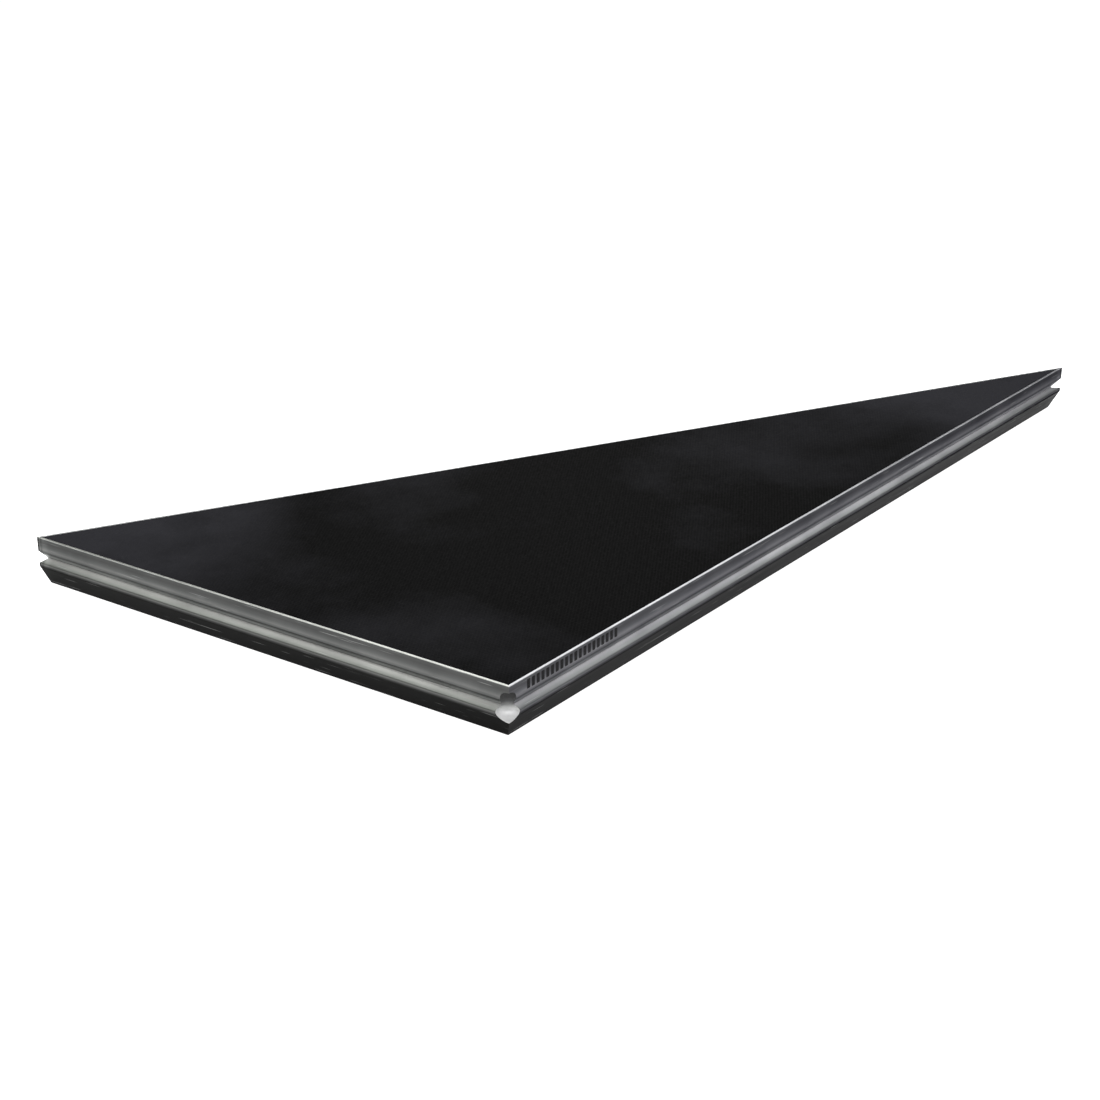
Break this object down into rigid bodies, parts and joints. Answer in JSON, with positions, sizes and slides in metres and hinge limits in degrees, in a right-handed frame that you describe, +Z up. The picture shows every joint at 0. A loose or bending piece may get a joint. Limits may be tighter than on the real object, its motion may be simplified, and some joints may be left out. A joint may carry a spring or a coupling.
{
  "type": "stage riser platform",
  "caption": "Right-angled triangular stage deck: black anti-slip plywood top in a grooved aluminium frame, with a clamped leg socket near each corner.",
  "frame": {"origin": "middle of the footprint's rectangle, on the surface the deck stands on; it is also the middle of the long edge", "axes": "+X along the 2 m side towards the sharp tip, +Y along the 1 m side away from the right angle, +Z up"},
  "size_m": [2, 1, 0.083],
  "materials": {
    "extruded_aluminium": "mill finish",
    "cast_aluminium": "as cast",
    "rivet_aluminium": "bright",
    "phenolic_plywood": "matt, hexagonal anti-slip mesh",
    "sealant": "matt",
    "zinc_plated_steel": "zinc plated",
    "spring_steel": "phosphated"
  },
  "bodies": {
    "deck": {"cleat_middle_back": "extruded_aluminium", "cleat_middle_front": "extruded_aluminium", "cleat_narrow_back": "extruded_aluminium", "cleat_narrow_front": "extruded_aluminium", "cleat_rivets": "rivet_aluminium", "cleat_wide_back": "extruded_aluminium", "cleat_wide_front": "extruded_aluminium", "corner_key_screws": "zinc_plated_steel", "corner_key_side": "cast_aluminium", "corner_key_square": "cast_aluminium", "corner_key_tip": "cast_aluminium", "crossbar_middle": "extruded_aluminium", "crossbar_narrow": "extruded_aluminium", "crossbar_panel_screws": "zinc_plated_steel", "crossbar_wide": "extruded_aluminium", "diagonal_rail": "extruded_aluminium", "edge_seal": "sealant", "leg_socket_side": "cast_aluminium", "leg_socket_square": "cast_aluminium", "leg_socket_tip": "cast_aluminium", "long_rail": "extruded_aluminium", "rail_panel_screws": "zinc_plated_steel", "rivet_nuts": "zinc_plated_steel", "short_rail": "extruded_aluminium", "socket_bolts_side": "zinc_plated_steel", "socket_bolts_square": "zinc_plated_steel", "socket_bolts_tip": "zinc_plated_steel", "top_panel": "phenolic_plywood"},
    "shoe_square": {"clamp_shoe_square": "cast_aluminium"},
    "screw_square": {"clamp_bolt_square": "zinc_plated_steel", "clamp_ring_square": "spring_steel"},
    "shoe_tip": {"clamp_shoe_tip": "cast_aluminium"},
    "screw_tip": {"clamp_bolt_tip": "zinc_plated_steel", "clamp_ring_tip": "spring_steel"},
    "shoe_side": {"clamp_shoe_side": "cast_aluminium"},
    "screw_side": {"clamp_bolt_side": "zinc_plated_steel", "clamp_ring_side": "spring_steel"}
  },
  "joints": [
    {"name": "shoe_slide_square", "type": "slide", "parent": "deck", "child": "shoe_square", "axis": [-0.7071, -0.7071, 0], "range_m": [0, 0.004]},
    {"name": "screw_turn_square", "type": "hinge", "parent": "shoe_square", "child": "screw_square", "pos_m": [-0.88539, -0.38539, 0.035], "axis": [-0.7071, -0.7071, 0], "range_deg": [0, 823]},
    {"name": "shoe_slide_tip", "type": "slide", "parent": "deck", "child": "shoe_tip", "axis": [0.9732, -0.2298, 0], "range_m": [0, 0.004]},
    {"name": "screw_turn_tip", "type": "hinge", "parent": "shoe_tip", "child": "screw_tip", "pos_m": [0.64494, -0.41618, 0.035], "axis": [0.9732, -0.2298, 0], "range_deg": [0, 823]},
    {"name": "shoe_slide_side", "type": "slide", "parent": "deck", "child": "shoe_side", "axis": [-0.5257, 0.8507, 0], "range_m": [0, 0.004]},
    {"name": "screw_turn_side", "type": "hinge", "parent": "shoe_side", "child": "screw_side", "pos_m": [-0.89709, 0.33349, 0.035], "axis": [-0.5257, 0.8507, 0], "range_deg": [0, 823]}
  ],
  "couplings": [
    {"joint": "screw_turn_square", "follows": "shoe_slide_square", "rad_per_m": 3590.4},
    {"joint": "screw_turn_tip", "follows": "shoe_slide_tip", "rad_per_m": 3590.4},
    {"joint": "screw_turn_side", "follows": "shoe_slide_side", "rad_per_m": 3590.4}
  ]
}
